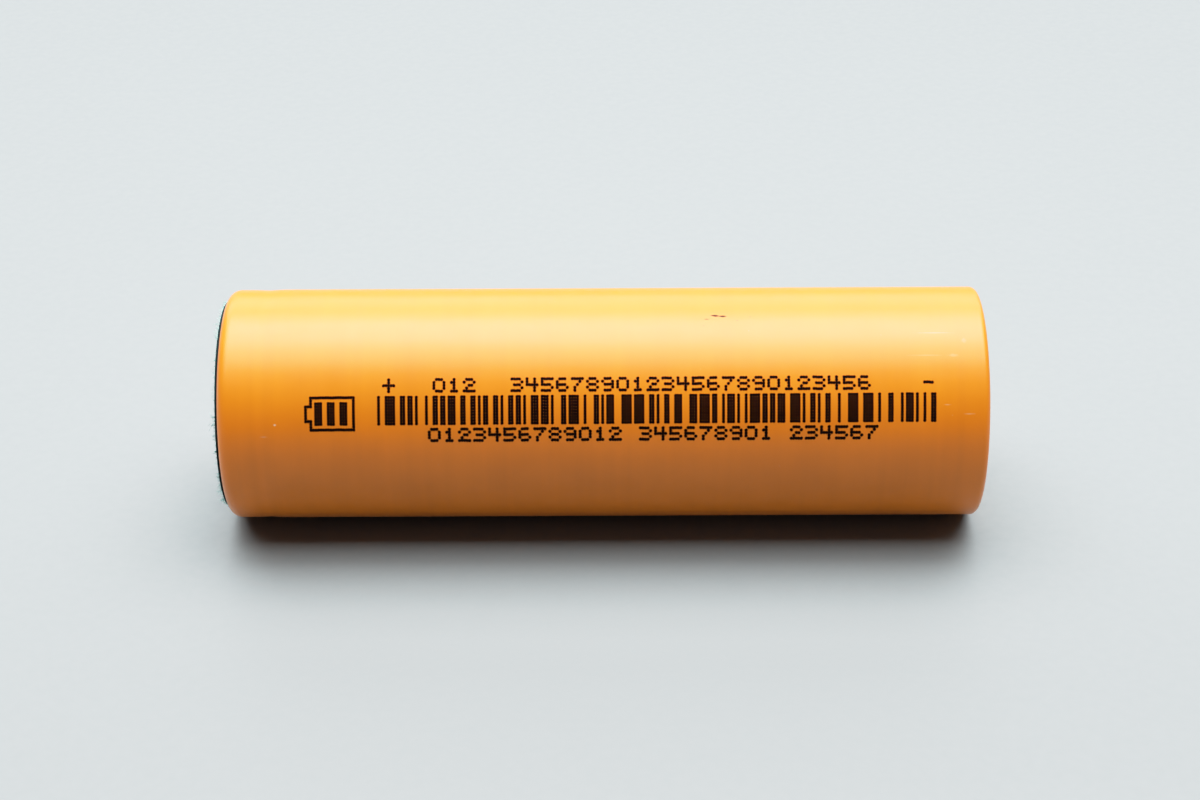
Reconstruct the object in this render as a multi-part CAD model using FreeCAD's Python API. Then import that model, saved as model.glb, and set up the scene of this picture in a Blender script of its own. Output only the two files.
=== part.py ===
"""A 21700-size cylindrical lithium-ion battery cell, lying on its side.

Every piece is built standing up in the cell's own frame: Z runs along the cell from the outside of the can's base,
at height 0, towards the positive terminal. export() then lays each piece down in the row frame: the cell's axis lies
along X with the positive terminal at -X, the cell rests on Z = 0, and the origin is under the middle of the cell.
All sizes are in millimetres.
"""

import FreeCAD
import Part

import math
import os

V = FreeCAD.Vector

# ---- Driving dimensions ----------------------------------------------------------------------------------------

# Can: one deep-drawn cup of nickel-plated steel, grooved near its mouth and crimped over the cap assembly.
CAN_RADIUS = 10.625
CAN_HEIGHT = 69.9
CAN_WALL = 0.25
CAN_BASE = 0.35
MOUTH_CORNER = 1.0
BASE_CORNER = 0.5
COIN_RADIUS = 8.2
COIN_DEPTH = 0.05
BEAD_HEIGHT = 66.0
BEAD_DEPTH = 1.3
BEAD_SHOULDER = 0.45
BEAD_ROOT = 0.35
CRIMP_INNER_RADIUS = 8.3

# Shrink sleeve and the paper washer on the positive end.
FILM = 0.125
SLEEVE_BASE_LIP_RADIUS = 8.7
SLEEVE_TOP_LIP_RADIUS = 8.9
WASHER_OUTER_RADIUS = 9.6
WASHER_INNER_RADIUS = 6.2
WASHER_THICKNESS = 0.2

# Cap assembly, from the bead upwards.
STACK_RADIUS = 9.75
GASKET_WEB = 0.9
GASKET_WEB_INNER_RADIUS = 8.1
GASKET_SKIRT_OUTER_RADIUS = 8.9
GASKET_SKIRT_DROP = 0.9
GASKET_LIP_INNER_RADIUS = 7.8
DISC_THICKNESS = 0.35
PTC_THICKNESS = 0.4
PTC_INNER_RADIUS = 6.3
CAP_THICKNESS = 0.5
CAP_HAT_BASE_RADIUS = 6.7
CAP_TOP_RADIUS = 4.8
CAP_PROUD_OF_WASHER = 0.4
CAP_BEND = 0.45
VENT_COUNT = 4
VENT_ANGLE = 52.0

# Current interrupt: the pressure disc's centre snaps up off the plate below it.
SCORE_RADIUS = 5.9
SCORE_GAP = 0.05
DISC_DISH_RADIUS = 4.2
DISC_BOSS_RADIUS = 1.1
DISC_DISH_DEPTH = 1.05
CID_RING_INNER_RADIUS = 6.3
CID_RING_OUTER_RADIUS = 7.9
CID_RING_WALL = 0.3
CID_RING_DROP = 0.8
PLATE_THICKNESS = 0.35
PLATE_DISH_RADIUS = 5.6
PLATE_DISH_DEPTH = 0.75
PLATE_HOLE_COUNT = 6
PLATE_HOLE_RADIUS = 0.7
PLATE_HOLE_CIRCLE = 3.7

# Electrode roll. The sheets have twice their real thickness and half their real number of turns.
CORE_RADIUS = 1.775
COATING_ANODE = 0.165
COATING_CATHODE = 0.1475
FOIL = 0.03
SEPARATOR = 0.03
SHEET_GAP = 0.004
HALF_TURNS = 21
ROLL_BOTTOM = 0.85
ROLL_TOP = 64.3
ANODE_INSET = 0.7
CATHODE_INSET = 1.2

# Insulators, pin, tabs and tapes round the roll.
UPPER_INSULATOR_RADIUS = 10.1
UPPER_INSULATOR_THICKNESS = 0.4
GAS_HOLE_COUNT = 3
GAS_HOLE_RADIUS = 1.3
GAS_HOLE_CIRCLE = 6.25
LOWER_INSULATOR_RADIUS = 9.5
LOWER_INSULATOR_THICKNESS = 0.3
PIN_CLEARANCE = 0.05
PIN_RADIUS = 1.5
PIN_WALL = 0.25
PIN_SLIT = 0.4
TAB_WIDTH = 4.0
TAB_THICKNESS = 0.1
TAB_PAST_CENTRE = 2.0
TAB_CLEARANCE = 0.4
TAPE = 0.035
TAPE_WIDTH = 4.6
WRAP_TAPE = 0.08
WRAP_TAPE_INNER_RADIUS = 10.19
WRAP_TAPE_MARGIN = 2.0
CATHODE_TAB_HALF_TURN = 10
ANODE_TAB_HALF_TURN = 18
WINDOW_LENGTH = 58.0

# ---- Sizes worked out from them --------------------------------------------------------------------------------

SLEEVE_RADIUS = CAN_RADIUS + FILM
CAN_INNER_RADIUS = CAN_RADIUS - CAN_WALL
MOUTH_ROUND_RADIUS = CAN_RADIUS - MOUTH_CORNER
MOUTH_ROUND_HEIGHT = CAN_HEIGHT - MOUTH_CORNER
BASE_ROUND_RADIUS = CAN_RADIUS - BASE_CORNER
CRIMP_UNDERSIDE = CAN_HEIGHT - CAN_WALL
SLEEVE_TOP = CAN_HEIGHT + FILM
WASHER_TOP = SLEEVE_TOP + WASHER_THICKNESS
CAP_TOP = WASHER_TOP + CAP_PROUD_OF_WASHER

SEAT = BEAD_HEIGHT + BEAD_ROOT + CAN_WALL
DISC_BOTTOM = SEAT + GASKET_WEB
PTC_BOTTOM = DISC_BOTTOM + DISC_THICKNESS
FLANGE_BOTTOM = PTC_BOTTOM + PTC_THICKNESS
FLANGE_TOP = FLANGE_BOTTOM + CAP_THICKNESS
PLATE_FLANGE_TOP = DISC_BOTTOM - CID_RING_WALL
PLATE_TOP = DISC_BOTTOM - DISC_DISH_DEPTH
PLATE_BOTTOM = PLATE_TOP - PLATE_THICKNESS

LAYERS = {}
PITCH = 0.0
for name, thickness in (
    ("separator_inner", SEPARATOR),
    ("anode_inner_coating", COATING_ANODE),
    ("anode_foil", FOIL),
    ("anode_outer_coating", COATING_ANODE),
    ("separator_outer", SEPARATOR),
    ("cathode_inner_coating", COATING_CATHODE),
    ("cathode_foil", FOIL),
    ("cathode_outer_coating", COATING_CATHODE),
):
    LAYERS[name] = (PITCH, thickness)
    PITCH += thickness + SHEET_GAP

ANODE_WINDOW_TOP = ROLL_BOTTOM + WINDOW_LENGTH
CATHODE_WINDOW_BOTTOM = ROLL_TOP - WINDOW_LENGTH

CELL_MIDDLE = (CAP_TOP - FILM) / 2


# ---- Drawing helpers -------------------------------------------------------------------------------------------


class Outline:
    """A closed outline in the (radius, height) half plane, drawn from point to point."""

    def __init__(self, radius, height):
        self.first = self.last = V(radius, 0, height)
        self.edges = []

    def line(self, radius, height):
        point = V(radius, 0, height)
        self.edges.append(Part.LineSegment(self.last, point).toShape())
        self.last = point
        return self

    def arc(self, radius, height, centre_radius, centre_height):
        """The shorter arc round a centre, from the last point to this one."""
        point = V(radius, 0, height)
        centre = V(centre_radius, 0, centre_height)
        towards = (self.last - centre) + (point - centre)
        middle = centre + towards.normalize() * (point - centre).Length
        self.edges.append(Part.Arc(self.last, middle, point).toShape())
        self.last = point
        return self

    def face(self):
        if (self.last - self.first).Length > 1e-9:
            self.line(self.first.x, self.first.z)
        return Part.Face(Part.Wire(self.edges))

    def turned(self):
        """The outline turned all the way round the cell's axis."""
        return self.face().revolve(V(0, 0, 0), V(0, 0, 1), 360)


def tube(outer, inner, bottom, top):
    shape = Part.makeCylinder(outer, top - bottom, V(0, 0, bottom))
    if inner > 0:
        shape = shape.cut(Part.makeCylinder(inner, top - bottom, V(0, 0, bottom)))
    return shape


def on_circle(radius, count, first_angle=0.0):
    for k in range(count):
        angle = math.radians(first_angle + 360.0 * k / count)
        yield V(radius * math.cos(angle), radius * math.sin(angle), 0)


# ---- Can, sleeve and washer ------------------------------------------------------------------------------------


def can():
    """The cup, its coined base, the bead groove and the crimped mouth, as one wall of even thickness."""
    inner_round_height = CAN_BASE + BASE_CORNER - CAN_WALL
    groove_radius = CAN_RADIUS - BEAD_DEPTH + BEAD_ROOT
    low, high = BEAD_HEIGHT - BEAD_ROOT, BEAD_HEIGHT + BEAD_ROOT
    shoulder_radius = CAN_RADIUS - BEAD_SHOULDER
    lip_round = CAN_WALL / 2
    lip_radius = CRIMP_INNER_RADIUS + lip_round
    lip_height = CAN_HEIGHT - lip_round
    o = Outline(0, COIN_DEPTH)
    o.line(COIN_RADIUS, COIN_DEPTH)
    o.line(COIN_RADIUS + COIN_DEPTH, 0)
    o.line(BASE_ROUND_RADIUS, 0)
    o.arc(CAN_RADIUS, BASE_CORNER, BASE_ROUND_RADIUS, BASE_CORNER)
    o.line(CAN_RADIUS, low - BEAD_SHOULDER)
    o.arc(shoulder_radius, low, shoulder_radius, low - BEAD_SHOULDER)
    o.line(groove_radius, low)
    o.arc(groove_radius - BEAD_ROOT, BEAD_HEIGHT, groove_radius, BEAD_HEIGHT)
    o.arc(groove_radius, high, groove_radius, BEAD_HEIGHT)
    o.line(shoulder_radius, high)
    o.arc(CAN_RADIUS, high + BEAD_SHOULDER, shoulder_radius, high + BEAD_SHOULDER)
    o.line(CAN_RADIUS, MOUTH_ROUND_HEIGHT)
    o.arc(MOUTH_ROUND_RADIUS, CAN_HEIGHT, MOUTH_ROUND_RADIUS, MOUTH_ROUND_HEIGHT)
    o.line(lip_radius, CAN_HEIGHT)
    o.arc(CRIMP_INNER_RADIUS, lip_height, lip_radius, lip_height)
    o.arc(lip_radius, CRIMP_UNDERSIDE, lip_radius, lip_height)
    o.line(MOUTH_ROUND_RADIUS, CRIMP_UNDERSIDE)
    o.arc(CAN_INNER_RADIUS, MOUTH_ROUND_HEIGHT, MOUTH_ROUND_RADIUS, MOUTH_ROUND_HEIGHT)
    o.line(CAN_INNER_RADIUS, high + BEAD_SHOULDER)
    o.arc(shoulder_radius, high + CAN_WALL, shoulder_radius, high + BEAD_SHOULDER)
    o.line(groove_radius, high + CAN_WALL)
    o.arc(groove_radius - BEAD_ROOT - CAN_WALL, BEAD_HEIGHT, groove_radius, BEAD_HEIGHT)
    o.arc(groove_radius, low - CAN_WALL, groove_radius, BEAD_HEIGHT)
    o.line(shoulder_radius, low - CAN_WALL)
    o.arc(CAN_INNER_RADIUS, low - BEAD_SHOULDER, shoulder_radius, low - BEAD_SHOULDER)
    o.line(CAN_INNER_RADIUS, inner_round_height)
    o.arc(BASE_ROUND_RADIUS, CAN_BASE, BASE_ROUND_RADIUS, inner_round_height)
    o.line(0, CAN_BASE)
    return o.turned()


def shrink_sleeve():
    """The printed film round the can, drawn in over both ends. It bridges the bead groove."""
    o = Outline(SLEEVE_BASE_LIP_RADIUS, -FILM)
    o.line(BASE_ROUND_RADIUS, -FILM)
    o.arc(SLEEVE_RADIUS, BASE_CORNER, BASE_ROUND_RADIUS, BASE_CORNER)
    o.line(SLEEVE_RADIUS, MOUTH_ROUND_HEIGHT)
    o.arc(MOUTH_ROUND_RADIUS, SLEEVE_TOP, MOUTH_ROUND_RADIUS, MOUTH_ROUND_HEIGHT)
    o.line(SLEEVE_TOP_LIP_RADIUS, SLEEVE_TOP)
    o.line(SLEEVE_TOP_LIP_RADIUS, CAN_HEIGHT)
    o.line(MOUTH_ROUND_RADIUS, CAN_HEIGHT)
    o.arc(CAN_RADIUS, MOUTH_ROUND_HEIGHT, MOUTH_ROUND_RADIUS, MOUTH_ROUND_HEIGHT)
    o.line(CAN_RADIUS, BASE_CORNER)
    o.arc(BASE_ROUND_RADIUS, 0, BASE_ROUND_RADIUS, BASE_CORNER)
    o.line(SLEEVE_BASE_LIP_RADIUS, 0)
    return o.turned()


def insulating_washer():
    return tube(WASHER_OUTER_RADIUS, WASHER_INNER_RADIUS, SLEEVE_TOP, WASHER_TOP)


# ---- Cap assembly ----------------------------------------------------------------------------------------------


def crimp_gasket():
    """A moulded ring that wraps the edge of the cap stack, with a skirt that reaches down inside the bead."""
    skirt_bottom = SEAT - GASKET_SKIRT_DROP
    seat_round_height = BEAD_HEIGHT + BEAD_ROOT + BEAD_SHOULDER
    shoulder_radius = CAN_RADIUS - BEAD_SHOULDER
    o = Outline(GASKET_WEB_INNER_RADIUS, skirt_bottom)
    o.line(GASKET_SKIRT_OUTER_RADIUS, skirt_bottom)
    o.line(GASKET_SKIRT_OUTER_RADIUS, SEAT)
    o.line(shoulder_radius, SEAT)
    o.arc(CAN_INNER_RADIUS, seat_round_height, shoulder_radius, seat_round_height)
    o.line(CAN_INNER_RADIUS, MOUTH_ROUND_HEIGHT)
    o.arc(MOUTH_ROUND_RADIUS, CRIMP_UNDERSIDE, MOUTH_ROUND_RADIUS, MOUTH_ROUND_HEIGHT)
    o.line(GASKET_LIP_INNER_RADIUS, CRIMP_UNDERSIDE)
    o.line(GASKET_LIP_INNER_RADIUS, FLANGE_TOP)
    o.line(STACK_RADIUS, FLANGE_TOP)
    o.line(STACK_RADIUS, DISC_BOTTOM)
    o.line(GASKET_WEB_INNER_RADIUS, DISC_BOTTOM)
    return o.turned()


def positive_cap():
    """The raised terminal, with vent windows through its sloping wall."""
    under = CAP_TOP - CAP_THICKNESS
    rise = under - FLANGE_BOTTOM
    run = CAP_HAT_BASE_RADIUS - CAP_TOP_RADIUS
    slope = math.hypot(rise, run)
    bend_in = CAP_BEND * run / slope
    bend_up = CAP_BEND * rise / slope
    wall_in = CAP_THICKNESS * rise / slope
    wall_up = CAP_THICKNESS * run / slope
    o = Outline(0, CAP_TOP)
    o.line(CAP_TOP_RADIUS - CAP_BEND, CAP_TOP)
    o.line(CAP_TOP_RADIUS + bend_in, CAP_TOP - bend_up)
    o.line(CAP_HAT_BASE_RADIUS - bend_in, FLANGE_TOP + bend_up)
    o.line(CAP_HAT_BASE_RADIUS + CAP_BEND, FLANGE_TOP)
    o.line(STACK_RADIUS, FLANGE_TOP)
    o.line(STACK_RADIUS, FLANGE_BOTTOM)
    o.line(CAP_HAT_BASE_RADIUS, FLANGE_BOTTOM)
    o.line(CAP_HAT_BASE_RADIUS - bend_in - wall_in, FLANGE_TOP + bend_up - wall_up)
    o.line(CAP_TOP_RADIUS + bend_in - wall_in, CAP_TOP - bend_up - wall_up)
    o.line(CAP_TOP_RADIUS - CAP_BEND - wall_in, under)
    o.line(0, under)
    shape = o.turned()
    window_outer = CAP_HAT_BASE_RADIUS
    window_inner = CAP_TOP_RADIUS - CAP_BEND / 2
    window_bottom = FLANGE_TOP + CAP_BEND / 2
    window_top = CAP_TOP - CAP_THICKNESS - CAP_BEND / 4
    for k in range(VENT_COUNT):
        window = Part.makeCylinder(
            window_outer, window_top - window_bottom, V(0, 0, window_bottom), V(0, 0, 1), VENT_ANGLE
        )
        window = window.cut(
            Part.makeCylinder(window_inner, window_top - window_bottom, V(0, 0, window_bottom))
        )
        window.rotate(V(0, 0, 0), V(0, 0, 1), 360.0 * k / VENT_COUNT - VENT_ANGLE / 2)
        shape = shape.cut(window)
    return shape


def ptc_ring():
    return tube(STACK_RADIUS, PTC_INNER_RADIUS, PTC_BOTTOM, FLANGE_BOTTOM)


def pressure_disc_rim():
    """The clamped part of the pressure disc, outside its score line."""
    return tube(STACK_RADIUS, SCORE_RADIUS + SCORE_GAP / 2, DISC_BOTTOM, PTC_BOTTOM)


def pressure_disc_centre():
    """The part of the pressure disc that snaps up: a dish with a flat boss, inside the score line."""
    edge = SCORE_RADIUS - SCORE_GAP / 2
    o = Outline(0, PLATE_TOP)
    o.line(DISC_BOSS_RADIUS, PLATE_TOP)
    o.line(DISC_DISH_RADIUS, DISC_BOTTOM)
    o.line(edge, DISC_BOTTOM)
    o.line(edge, PTC_BOTTOM)
    o.line(DISC_DISH_RADIUS - DISC_THICKNESS / 3, PTC_BOTTOM)
    o.line(DISC_BOSS_RADIUS - DISC_THICKNESS / 3, PLATE_TOP + DISC_THICKNESS)
    o.line(0, PLATE_TOP + DISC_THICKNESS)
    return o.turned()


def cid_insulator():
    """The ring that holds the interrupt plate under the pressure disc without touching it."""
    o = Outline(CID_RING_INNER_RADIUS, PLATE_FLANGE_TOP)
    o.line(CID_RING_OUTER_RADIUS - CID_RING_WALL, PLATE_FLANGE_TOP)
    o.line(CID_RING_OUTER_RADIUS - CID_RING_WALL, PLATE_FLANGE_TOP - CID_RING_DROP)
    o.line(CID_RING_OUTER_RADIUS, PLATE_FLANGE_TOP - CID_RING_DROP)
    o.line(CID_RING_OUTER_RADIUS, DISC_BOTTOM)
    o.line(CID_RING_INNER_RADIUS, DISC_BOTTOM)
    return o.turned()


def cid_plate():
    """The perforated plate that the cathode tab is welded to. The pressure disc's boss rests on its middle."""
    flange = CID_RING_OUTER_RADIUS - CID_RING_WALL
    o = Outline(0, PLATE_BOTTOM)
    o.line(PLATE_DISH_RADIUS, PLATE_BOTTOM)
    o.line(PLATE_DISH_RADIUS + PLATE_DISH_DEPTH, PLATE_FLANGE_TOP - PLATE_THICKNESS)
    o.line(flange, PLATE_FLANGE_TOP - PLATE_THICKNESS)
    o.line(flange, PLATE_FLANGE_TOP)
    o.line(PLATE_DISH_RADIUS + PLATE_DISH_DEPTH - PLATE_THICKNESS / 2, PLATE_FLANGE_TOP)
    o.line(PLATE_DISH_RADIUS - PLATE_THICKNESS / 2, PLATE_TOP)
    o.line(0, PLATE_TOP)
    shape = o.turned()
    for centre in on_circle(PLATE_HOLE_CIRCLE, PLATE_HOLE_COUNT, 30):
        hole = Part.makeCylinder(PLATE_HOLE_RADIUS, PLATE_THICKNESS, centre + V(0, 0, PLATE_BOTTOM))
        shape = shape.cut(hole)
    return shape


# ---- Electrode roll --------------------------------------------------------------------------------------------


def half_turn(index, radius_offset):
    """Centre and radius of one half turn of a spiral made of semicircles, which meet with no corner."""
    side = -1 if index % 2 == 0 else 1
    return V(side * PITCH / 4, 0, 0), CORE_RADIUS + index * PITCH / 2 + radius_offset


def spiral_edges(radius_offset, first, last):
    """Semicircles from half turn first to half turn last. Even ones pass through +Y, odd ones through -Y."""
    edges = []
    for k in range(first, last):
        centre, radius = half_turn(k, radius_offset)
        way = 1 if k % 2 == 0 else -1
        start, end = centre + V(way * radius, 0, 0), centre - V(way * radius, 0, 0)
        edges.append(Part.Arc(start, centre + V(0, way * radius, 0), end).toShape())
    return edges


def sheet(layer, first, last, bottom, top):
    """One wound layer of the roll, standing between two heights."""
    offset, thickness = LAYERS[layer]
    inner = spiral_edges(offset, first, last)
    outer = spiral_edges(offset + thickness, first, last)
    caps = [
        Part.LineSegment(inner[0].Vertexes[0].Point, outer[0].Vertexes[0].Point).toShape(),
        Part.LineSegment(inner[-1].Vertexes[-1].Point, outer[-1].Vertexes[-1].Point).toShape(),
    ]
    wire = Part.Wire(Part.sortEdges(inner + outer + caps)[0])
    shape = Part.Face(wire).extrude(V(0, 0, top - bottom))
    shape.translate(V(0, 0, bottom))
    return shape


def separator(layer):
    return sheet(layer, 0, HALF_TURNS, ROLL_BOTTOM, ROLL_TOP)


def anode(layer):
    return sheet(layer, 1, HALF_TURNS - 1, ROLL_BOTTOM + ANODE_INSET, ROLL_TOP - ANODE_INSET)


def cathode(layer):
    return sheet(layer, 2, HALF_TURNS - 2, ROLL_BOTTOM + CATHODE_INSET, ROLL_TOP - CATHODE_INSET)


def curved_strip(index, radius_offset, thickness, width, bottom, top):
    """A strip that lies on one half turn of the roll at its +Y side."""
    centre, radius = half_turn(index, radius_offset)
    ring = Part.makeCylinder(radius + thickness, top - bottom, centre + V(0, 0, bottom))
    ring = ring.cut(Part.makeCylinder(radius, top - bottom, centre + V(0, 0, bottom)))
    reach = radius + thickness + 1
    side = Part.makeBox(width, reach, top - bottom, centre + V(-width / 2, 0, bottom))
    return ring.common(side)


def tab_seat(layer):
    """How far out from its half turn a tab sits: on the outer face of its foil."""
    offset, thickness = LAYERS[layer]
    return offset + thickness + SHEET_GAP / 2


def bare_window(index, layer, bottom, top):
    """The space cleared in a coating for a tab and its tape."""
    offset, thickness = LAYERS[layer]
    return curved_strip(
        index, offset - SHEET_GAP, thickness + 2 * SHEET_GAP, TAPE_WIDTH + 2 * TAB_CLEARANCE, bottom, top
    )


def anode_coating():
    outer = anode("anode_outer_coating")
    outer = outer.cut(bare_window(ANODE_TAB_HALF_TURN, "anode_outer_coating", ROLL_BOTTOM, ANODE_WINDOW_TOP))
    return Part.Compound([anode("anode_inner_coating"), outer])


def cathode_coating():
    outer = cathode("cathode_outer_coating")
    cleared = bare_window(CATHODE_TAB_HALF_TURN, "cathode_outer_coating", CATHODE_WINDOW_BOTTOM, ROLL_TOP)
    return Part.Compound([cathode("cathode_inner_coating"), outer.cut(cleared)])


def tab(index, layer, bottom, top, foot_bottom):
    """A strip up the roll and a foot across the middle of the cell, joined at the foot's height."""
    upright = curved_strip(index, tab_seat(layer), TAB_THICKNESS, TAB_WIDTH, bottom, top)
    centre, radius = half_turn(index, tab_seat(layer))
    reach = radius + TAB_THICKNESS + TAB_PAST_CENTRE
    foot = Part.makeBox(
        TAB_WIDTH, reach, TAB_THICKNESS, centre + V(-TAB_WIDTH / 2, -TAB_PAST_CENTRE, foot_bottom)
    )
    foot = foot.common(
        Part.makeCylinder(radius + TAB_THICKNESS, TAB_THICKNESS, centre + V(0, 0, foot_bottom))
    )
    return upright.fuse(foot).removeSplitter()


def cathode_tab():
    return tab(
        CATHODE_TAB_HALF_TURN,
        "cathode_foil",
        CATHODE_WINDOW_BOTTOM + TAB_CLEARANCE,
        PLATE_BOTTOM,
        PLATE_BOTTOM - TAB_THICKNESS,
    )


def anode_tab():
    return tab(ANODE_TAB_HALF_TURN, "anode_foil", CAN_BASE, ANODE_WINDOW_TOP - TAB_CLEARANCE, CAN_BASE)


def tab_tape(index, layer, bottom, top):
    """Insulating tape over a tab, between it and the separator."""
    seat = tab_seat(layer) + TAB_THICKNESS + SHEET_GAP / 2
    return curved_strip(index, seat, TAPE, TAPE_WIDTH, bottom, top)


def cathode_tab_tape():
    return tab_tape(
        CATHODE_TAB_HALF_TURN, "cathode_foil", CATHODE_WINDOW_BOTTOM + TAB_CLEARANCE, ROLL_TOP - SHEET_GAP
    )


def anode_tab_tape():
    return tab_tape(
        ANODE_TAB_HALF_TURN, "anode_foil", ROLL_BOTTOM + SHEET_GAP, ANODE_WINDOW_TOP - TAB_CLEARANCE
    )


def roll_wrap_tape():
    inner = WRAP_TAPE_INNER_RADIUS
    return tube(inner + WRAP_TAPE, inner, ROLL_BOTTOM + WRAP_TAPE_MARGIN, ROLL_TOP - WRAP_TAPE_MARGIN)


# ---- Pin and insulators ----------------------------------------------------------------------------------------


def centre_pin():
    """A slit steel tube that keeps the middle of the roll open. It stands on the anode tab's weld."""
    bottom = CAN_BASE + TAB_THICKNESS
    shape = tube(PIN_RADIUS, PIN_RADIUS - PIN_WALL, bottom, ROLL_TOP)
    slit = Part.makeBox(PIN_RADIUS, PIN_SLIT, ROLL_TOP - bottom, V(0, -PIN_SLIT / 2, bottom))
    return shape.cut(slit)


def tab_slot(index, layer, bottom, top):
    """A slot through an insulator where a tab passes."""
    seat = tab_seat(layer) - TAB_CLEARANCE
    width = TAB_WIDTH + 2 * TAB_CLEARANCE
    return curved_strip(index, seat, TAB_THICKNESS + 2 * TAB_CLEARANCE, width, bottom, top)


def upper_insulator():
    """The plate on top of the roll, with a gas hole over the pin, three more round it and the tab's slot."""
    bottom, top = ROLL_TOP, ROLL_TOP + UPPER_INSULATOR_THICKNESS
    shape = tube(UPPER_INSULATOR_RADIUS, PIN_RADIUS - PIN_WALL, bottom, top)
    for centre in on_circle(GAS_HOLE_CIRCLE, GAS_HOLE_COUNT, 210):
        shape = shape.cut(Part.makeCylinder(GAS_HOLE_RADIUS, top - bottom, centre + V(0, 0, bottom)))
    return shape.cut(tab_slot(CATHODE_TAB_HALF_TURN, "cathode_foil", bottom, top))


def lower_insulator():
    """The plate under the roll, open in the middle for the pin and slotted for the anode tab."""
    bottom = CAN_BASE + TAB_THICKNESS + SHEET_GAP
    top = bottom + LOWER_INSULATOR_THICKNESS
    shape = tube(LOWER_INSULATOR_RADIUS, PIN_RADIUS + PIN_CLEARANCE, bottom, top)
    return shape.cut(tab_slot(ANODE_TAB_HALF_TURN, "anode_foil", bottom, top))


# ---- All the pieces --------------------------------------------------------------------------------------------

PIECES = {
    "shrink_sleeve": shrink_sleeve,
    "insulating_washer": insulating_washer,
    "steel_can": can,
    "crimp_gasket": crimp_gasket,
    "positive_cap": positive_cap,
    "ptc_ring": ptc_ring,
    "pressure_disc_rim": pressure_disc_rim,
    "pressure_disc_centre": pressure_disc_centre,
    "cid_insulator": cid_insulator,
    "cid_plate": cid_plate,
    "upper_insulator": upper_insulator,
    "lower_insulator": lower_insulator,
    "centre_pin": centre_pin,
    "separator_inner": lambda: separator("separator_inner"),
    "separator_outer": lambda: separator("separator_outer"),
    "anode_foil": lambda: anode("anode_foil"),
    "anode_coating": anode_coating,
    "cathode_foil": lambda: cathode("cathode_foil"),
    "cathode_coating": cathode_coating,
    "anode_tab": anode_tab,
    "cathode_tab": cathode_tab,
    "anode_tab_tape": anode_tab_tape,
    "cathode_tab_tape": cathode_tab_tape,
    "roll_wrap_tape": roll_wrap_tape,
}


def export(name, shape):
    """Lays a piece down in the row frame and writes it."""
    shape = shape.copy()
    shape.rotate(V(0, 0, 0), V(0, 1, 0), -90)
    shape.translate(V(CELL_MIDDLE, 0, SLEEVE_RADIUS))
    if not shape.isValid() or not shape.Solids:
        raise ValueError(f"{name} is not a valid solid")
    shape.exportStep(f"parts/{name}.step")
    box = shape.BoundBox
    print(
        f"{name:22s} {len(shape.Solids)} solid(s) {shape.Volume:10.2f} mm3"
        f"  x {box.XMin:7.2f} {box.XMax:7.2f}  y {box.YMin:7.2f} {box.YMax:7.2f}  z {box.ZMin:6.2f} {box.ZMax:6.2f}"
    )


os.makedirs("parts", exist_ok=True)
for piece, build in PIECES.items():
    export(piece, build())
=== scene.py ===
"""Looks of a sleeved cylindrical battery cell, lying on a pale floor under a large overhead softbox.

The cell's axis runs along X at the height of its own radius, with the positive terminal at -X. Lengths are
in millimetres unless a name or comment says otherwise, and point() turns them into Blender's metres.
"""

import math
import random

import bmesh
import bpy
from mathutils import Matrix, Vector


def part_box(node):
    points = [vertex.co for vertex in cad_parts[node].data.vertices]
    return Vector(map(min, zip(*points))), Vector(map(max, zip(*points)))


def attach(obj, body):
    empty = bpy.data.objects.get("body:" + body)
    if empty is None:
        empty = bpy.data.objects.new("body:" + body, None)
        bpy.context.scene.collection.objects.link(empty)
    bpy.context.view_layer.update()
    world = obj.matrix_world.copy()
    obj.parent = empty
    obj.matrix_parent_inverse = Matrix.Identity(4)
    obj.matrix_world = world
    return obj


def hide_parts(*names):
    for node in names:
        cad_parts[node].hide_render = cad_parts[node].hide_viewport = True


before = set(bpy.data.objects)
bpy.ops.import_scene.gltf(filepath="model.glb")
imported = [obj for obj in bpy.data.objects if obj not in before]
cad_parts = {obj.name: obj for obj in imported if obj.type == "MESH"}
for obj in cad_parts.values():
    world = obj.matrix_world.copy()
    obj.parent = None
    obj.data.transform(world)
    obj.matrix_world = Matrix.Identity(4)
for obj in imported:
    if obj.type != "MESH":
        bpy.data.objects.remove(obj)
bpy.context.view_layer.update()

MM = 0.001
CELL = "cell"


def box_mm(node):
    low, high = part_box(node)
    return low / MM, high / MM


# ---- Sizes read from the frame -------------------------------------------------------------------

SLEEVE_LOW, SLEEVE_HIGH = box_mm("shrink_sleeve")
RADIUS = (SLEEVE_HIGH.z - SLEEVE_LOW.z) / 2
TOP_X, BASE_X = SLEEVE_LOW.x, SLEEVE_HIGH.x
CAN_LOW, CAN_HIGH = box_mm("steel_can")
FILM = RADIUS - (CAN_HIGH.z - CAN_LOW.z) / 2
WASHER_LOW, WASHER_HIGH = box_mm("insulating_washer")
WASHER_RADIUS = (WASHER_HIGH.z - WASHER_LOW.z) / 2

# ---- Sizes of the sleeve -------------------------------------------------------------------------

# The shoulders' radii, the openings' radii, and how unevenly the lips of the film close in.
TOP_CORNER = 1.125
BASE_CORNER = 0.625
TOP_LIP_RADIUS = 8.9
BASE_LIP_RADIUS = 8.7
LIP_PUCKER = 0.03
LIP_WANDER = 0.12

# The can's bead groove, which the film dips into, and the slightly narrower neck beyond it.
BEAD_X = TOP_X + 3.9
BEAD_HALF_WIDTH = 0.8
BEAD_REACH = 3.0
BEAD_SAG = 0.05
BEAD_UNEVENNESS = 0.3
NECK_STEP = 0.035
NECK_SHARPNESS = 4.0

BARREL_RINGS, NECK_RINGS = 30, 28
SLEEVE_SEGMENTS = 192

# ---- Sizes of the washer and its fibres ----------------------------------------------------------

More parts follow.
